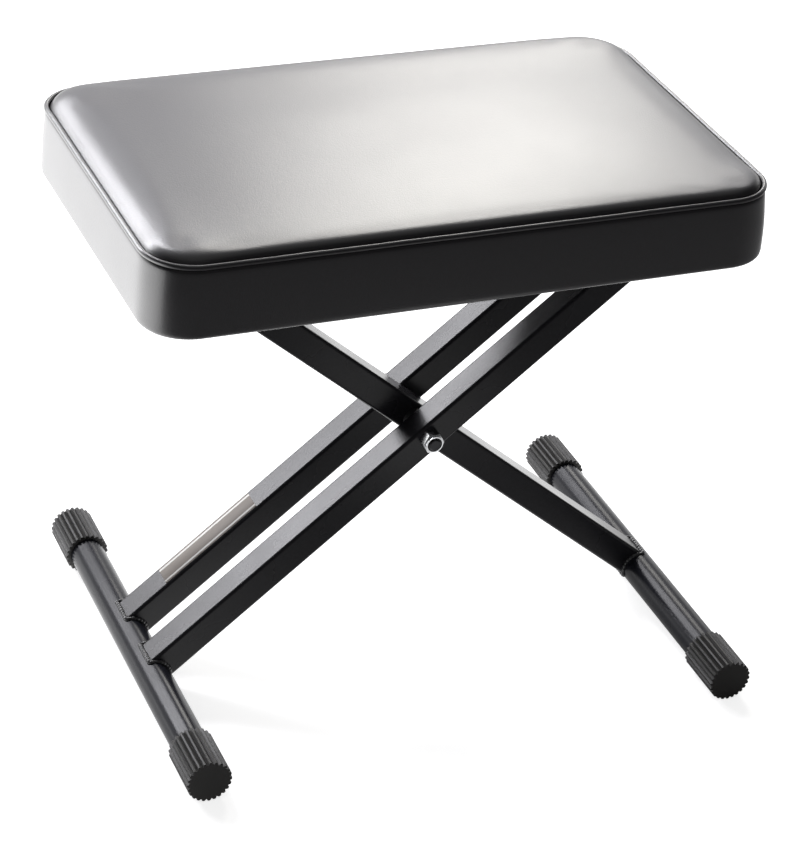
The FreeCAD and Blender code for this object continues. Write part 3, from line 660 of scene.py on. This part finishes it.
def outline_ring(inset, spacing):
    """Even points once round the seat at an inset, with the outward direction at each."""
    half_x = BELLY.x - inset
    half_y = BELLY.y - inset
    radius = SEAT_CORNER - inset
    sides = [
        (Vector((half_x, -(half_y - radius), 0)), Vector((0, 1, 0)), 2 * (half_y - radius)),
        (Vector((half_x - radius, half_y, 0)), Vector((-1, 0, 0)), 2 * (half_x - radius)),
        (Vector((-half_x, half_y - radius, 0)), Vector((0, -1, 0)), 2 * (half_y - radius)),
        (Vector((-(half_x - radius), -half_y, 0)), Vector((1, 0, 0)), 2 * (half_x - radius)),
    ]
    quarter = radius * math.pi / 2
    whole = sum(length for _, _, length in sides) + 4 * quarter
    count = round(whole / spacing)
    ring = []
    for number in range(count):
        along = whole * number / count
        for start, way, length in sides:
            outward = Vector((way.y, -way.x, 0))
            if along < length:
                ring.append((start + way * along + SEAT_MIDDLE, outward))
                break
            along -= length
            if along < quarter:
                turn = along / radius
                centre = start + way * length - outward * radius
                spoke = outward * math.cos(turn) + way * math.sin(turn)
                ring.append((centre + spoke * radius + SEAT_MIDDLE, spoke))
                break
            along -= quarter
    return ring


def closed_tube(name, points, radii, thickness, sides):
    """Tube along a closed ring of points, as a bmesh."""
    line = bpy.data.curves.new(name, "CURVE")
    line.dimensions = "3D"
    line.bevel_depth = thickness
    line.bevel_resolution = sides
    spline = line.splines.new("POLY")
    spline.points.add(len(points) - 1)
    for point, place, radius in zip(spline.points, points, radii):
        point.co = (*place, 1.0)
        point.radius = radius
    spline.use_cyclic_u = True
    carrier = add_object(name, line)
    mesh = bpy.data.meshes.new_from_object(carrier.evaluated_get(bpy.context.evaluated_depsgraph_get()))
    bpy.data.objects.remove(carrier)
    bm = bmesh.new()
    bm.from_mesh(mesh)
    bmesh.ops.remove_doubles(bm, verts=bm.verts, dist=1e-6)
    bmesh.ops.recalc_face_normals(bm, faces=bm.faces)
    return bm


def make_piping():
    """Vinyl-covered cord round the top edge, with the slight waver of a sewn one."""
    points = []
    radii = []
    for place, outward in outline_ring(WELT_INSET, 3 * MM):
        waver = noise.noise(place * 22.0) * 0.25 * MM
        height = WELT_HEIGHT + noise.noise(place * 31.0) * 0.2 * MM
        points.append(settle(place + outward * waver + Vector((0, 0, height))))
        radii.append(1.0 + 0.03 * noise.noise(place * 60.0))
    bm = closed_tube("piping_line", points, radii, PIPING_RADIUS, 4)
    piping = new_piece("piping", bm, PIPING_VINYL, "seat")
    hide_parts("seat_piping")


def make_lining():
    """Thin black cloth stretched over the board's underside, with the faint ripples of hand stapling.

    It reaches a little past the CAD cover, so that no board shows between it and the vinyl.
    """
    inset = TURN_UNDER - 0.9 * MM
    half_x = BELLY.x - inset
    half_y = BELLY.y - inset
    bm = bmesh.new()
    grid = bmesh.ops.create_grid(bm, x_segments=120, y_segments=70, size=1.0)["verts"]
    for vert in grid:
        spot, _ = to_outline(vert.co.x * half_x, vert.co.y * half_y, inset)
        place = spot + SEAT_MIDDLE
        edge = max(abs(vert.co.x), abs(vert.co.y)) ** 6
        ripple = noise.noise(place * 35.0) * 0.12 + noise.noise(place * 130.0) * 0.12 * edge
        vert.co = place + Vector((0, 0, UNDERSIDE + (0.3 + ripple) * MM))
    bmesh.ops.solidify(bm, geom=bm.faces, thickness=-0.6 * MM)
    bmesh.ops.recalc_face_normals(bm, faces=bm.faces)
    lining = new_piece("lining", bm, LINING, "seat")
    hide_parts("dust_cover")


def make_staples():
    """Wire staples round the turned-under edge, each lying along the edge."""
    bm = bmesh.new()
    spacing = 34 * MM
    for place, outward in outline_ring(TURN_UNDER - 5 * MM, spacing):
        heading = math.atan2(outward.x, -outward.y) + noise.noise(place * 90.0) * 0.35
        at = Matrix.Translation((place.x, place.y, UNDERSIDE - 0.2 * MM)) @ Matrix.Rotation(heading, 4, "Z")
        add_block(bm, (10 * MM, 1.1 * MM, 0.6 * MM), at, bevel=0.2 * MM)
    new_piece("staples", bm, ZINC, "seat")


# Frame details

WELD_THICKNESS = 1.9 * MM
WELD_STEPS = 44  # points along each side of a leg
STRIP_ENDS = (-243.5 * MM, -146 * MM)  # along the leg from the pivot
STRIP_WIDTH = 20.6 * MM
STRIP_THICKNESS = 0.25 * MM


def saddle_path(foot, leg_y, rise):
    """Corner line where a square leg meets its round foot tube, once round the leg.

    rise is the leg's direction, upwards from the foot.
    """
    up = Vector((-rise.z, 0, rise.x)) if rise.x > 0 else Vector((rise.z, 0, -rise.x))
    side = Vector((0, 1, 0))
    start = Vector((foot.x, leg_y, foot.z))
    reach = TUBE_HALF + 0.5 * MM
    surface = FOOT_RADIUS + 0.3 * MM

    def on_tube(across, over):
        along = math.sqrt(max(surface ** 2 - over ** 2, 0))
        return start + side * across + up * over + rise * along

    corners = [(-1, 1), (1, 1), (1, -1), (-1, -1)]
    points = []
    for (across, over), (next_across, next_over) in zip(corners, corners[1:] + corners[:1]):
        for step in range(WELD_STEPS):
            share = step / WELD_STEPS
            points.append(on_tube(
                reach * (across + (next_across - across) * share),
                reach * (over + (next_over - over) * share),
            ))
    return points


def make_weld(name, foot, leg_y, rise, body):
    """Weld bead of overlapping ripples, thick and thin as laid by hand."""
    points = saddle_path(foot, leg_y, rise)
    radii = []
    for number, place in enumerate(points):
        ripple = abs(math.sin(number * 0.62))
        radii.append(0.72 + 0.3 * ripple + 0.35 * noise.noise(place * 160.0))
    bm = closed_tube(name + "_line", points, radii, WELD_THICKNESS, 3)
    new_piece(name, bm, WELD_LIT_COAT, body)


def make_strip():
    """Bare self-adhesive strip on the rear leg's top face."""
    up = Vector((-RISE_RIGHT.z, 0, RISE_RIGHT.x))
    length = STRIP_ENDS[1] - STRIP_ENDS[0]
    centre = Vector((PIVOT.x, OUTER_LEG_Y, PIVOT.z)) + RISE_RIGHT * sum(STRIP_ENDS) / 2
    centre += up * (TUBE_HALF + STRIP_THICKNESS / 2)
    turn = Matrix((RISE_RIGHT, Vector((0, 1, 0)), up)).transposed().to_4x4()
    turn.translation = centre
    bm = bmesh.new()
    add_block(bm, (length, STRIP_WIDTH, STRIP_THICKNESS), Matrix.Identity(4), bevel=0.08 * MM, segments=1)
    layer = bm.loops.layers.uv.new("along")
    for face in bm.faces:
        for loop in face.loops:
            loop[layer].uv = (loop.vert.co.x / length + 0.5, loop.vert.co.y / STRIP_WIDTH + 0.5)
    bmesh.ops.transform(bm, matrix=turn, verts=bm.verts)
    new_piece("leg_strip", bm, STRIP, "outer_frame")


make_cushion()
make_piping()
make_lining()
make_staples()
make_weld("weld_front_leg", LEFT_FOOT, -OUTER_LEG_Y, RISE_RIGHT, "outer_frame")
make_weld("weld_rear_leg", LEFT_FOOT, OUTER_LEG_Y, RISE_RIGHT, "outer_frame")
make_weld("weld_inner_leg", RIGHT_FOOT, 0.0, RISE_LEFT, "inner_frame")
make_strip()


# Floor, light and camera

LIT_MIDDLE = Vector((0.0, 0.0, 0.4))  # the lamps face this place
WHITE = (1.0, 1.0, 1.0, 1.0)
NUT_GLOW_MIDDLE = (0.155, -0.38, 0.0)  # middle of the floor spot that glows only in reflections, a painted highlight on the pivot's nut


def floor_material():
    """Pale floor that keeps the bench's shadow and shows near white to the camera.

    In glossy rays only it glows as a painted reflection, dim in front and bright to the rear and brightest
    to the left, like a lit sweep, and its diffuse colour is darker there;
    one small glowing spot in front paints a highlight on the pivot's nut.
    """
    material = bpy.data.materials.new("pale_floor")
    material.use_nodes = True
    tree = material.node_tree
    tree.nodes.clear()
    path = add_node(tree, "ShaderNodeLightPath")
    in_gloss = path.outputs["Is Glossy Ray"]
    # painted reflection: in glossy rays the floor's diffuse colour drops from 0.8 to 0.35
    shade = add_math(tree, "MULTIPLY_ADD", in_gloss, -0.45, 0.8)
    paint = add_node(tree, "ShaderNodeBsdfDiffuse", {"Color": shade})
    place = add_node(tree, "ShaderNodeTexCoord")
    spot = add_node(tree, "ShaderNodeSeparateXYZ", {"Vector": place.outputs["Object"]})
    slant = add_math(tree, "MULTIPLY_ADD", spot.outputs["X"], -0.35, spot.outputs["Y"])
    rear = add_range(tree, slant, -0.3, 0.35)
    left = add_range(tree, spot.outputs["X"], -0.1, -0.75, 0.0, 1.5)
    behind = add_range(tree, spot.outputs["X"], 1.2, 0.5, 0.4, 2.1)
    away = add_node(tree, "ShaderNodeVectorMath", {0: place.outputs["Object"], 1: NUT_GLOW_MIDDLE},
                    operation="DISTANCE")
    # painted highlight: a floor spot that glows in reflections so that the pivot's nut shows it
    painted_nut_glint = add_range(tree, away.outputs["Value"], 0.16, 0.04, 0.05, 1.0)
    sweep = add_math(tree, "MULTIPLY_ADD", rear, add_math(tree, "ADD", left, behind), painted_nut_glint)
    # painted reflection: only glossy rays see this glow
    gloss = add_math(tree, "MULTIPLY", in_gloss, sweep)
    lift = add_math(tree, "MULTIPLY_ADD", path.outputs["Is Camera Ray"], 0.78, gloss)
    glow = add_node(tree, "ShaderNodeEmission", {"Color": WHITE, "Strength": lift})
    both = add_node(tree, "ShaderNodeAddShader", {0: paint.outputs[0], 1: glow.outputs[0]})
    add_node(tree, "ShaderNodeOutputMaterial", {"Surface": both.outputs[0]})
    return material


def make_floor():
    """Wide floor under the bench."""
    bm = bmesh.new()
    bmesh.ops.create_grid(bm, x_segments=1, y_segments=1, size=12.0)
    floor = add_mesh("floor", bm, floor_material())


def make_world():
    """White to the camera, and else dim but brighter overhead, with a white sweep behind in gloss."""
    world = bpy.data.worlds.new("studio")
    bpy.context.scene.world = world
    world.use_nodes = True
    tree = world.node_tree
    tree.nodes.clear()
    path = add_node(tree, "ShaderNodeLightPath")
    place = add_node(tree, "ShaderNodeTexCoord")
    heading = add_node(tree, "ShaderNodeSeparateXYZ", {"Vector": place.outputs["Generated"]})
    rear = add_range(tree, heading.outputs["Y"], 0.1, 0.6, 0.0, 1.5)
    low = add_range(tree, heading.outputs["Z"], 0.2, 0.5, 1.0, 0.1)
    overhead = add_range(tree, heading.outputs["Z"], 0.6, 0.95, 0.07, 0.35)
    sweep = add_math(tree, "MULTIPLY", rear, low)
    gloss = add_math(tree, "MULTIPLY_ADD", path.outputs["Is Glossy Ray"], sweep, overhead)
    strength = add_math(tree, "MAXIMUM", path.outputs["Is Camera Ray"], gloss)
    sky = add_node(tree, "ShaderNodeBackground", {"Color": WHITE, "Strength": strength})
    add_node(tree, "ShaderNodeOutputWorld", {"Surface": sky.outputs[0]})


def add_softbox(name, place, width, height, radiance, colour, roll=0.0):
    """Rectangular soft light that faces the bench and hides from the camera.

    Its power grows with its size, so that radiance alone says how bright it looks.
    """
    lamp = bpy.data.lights.new(name, "AREA")
    lamp.color = colour
    lamp.shape = "RECTANGLE"
    lamp.size = width
    lamp.size_y = height
    lamp.energy = radiance * math.pi * width * height
    box = add_object(name, lamp)
    box.location = place
    facing = (LIT_MIDDLE - Vector(place)).to_track_quat("-Z", "Y")
    box.rotation_euler = (facing @ Quaternion((0.0, 0.0, 1.0), roll)).to_euler()
    box.visible_camera = False


def add_camera():
    """Camera at the photograph's viewpoint, as solved from the bench's edges."""
    right = Vector((0.9222, -0.3797, 0.0764)).normalized()
    back = Vector((-0.3618, -0.7743, 0.5191)).normalized()
    up = back.cross(right).normalized()
    right = up.cross(back).normalized()
    lens = bpy.data.cameras.new("camera")
    lens.sensor_width = 36.0
    lens.lens = 119.67
    lens.shift_x = -0.0055
    lens.shift_y = 0.0006
    camera = add_object("camera", lens)
    eye = PIVOT + Vector((-0.8261, -1.7682, 1.1744))
    camera.matrix_world = Matrix.Translation(eye) @ Matrix((right, up, back)).transposed().to_4x4()
    bpy.context.scene.camera = camera


make_floor()
make_world()
add_softbox("back_box", (1.22, 2.3, 2.06), 0.75, 1.0, 11.2, colour=(1.0, 0.98, 0.925))
add_softbox("wide_box", (1.1, 2.4, 1.8), 2.0, 1.4, 0.8, colour=(0.9, 0.88, 1.0))
add_softbox("left_box", (-0.95, 2.15, 1.9), 2.4, 0.5, 24.0, colour=(0.965, 0.962, 1.0), roll=-0.54)
add_softbox("leg_box", (-1.48, 2.15, 1.16), 0.4, 0.35, 9.0, colour=(0.95, 0.95, 1.0))
add_camera()
bpy.context.scene.view_settings.view_transform = "Standard"
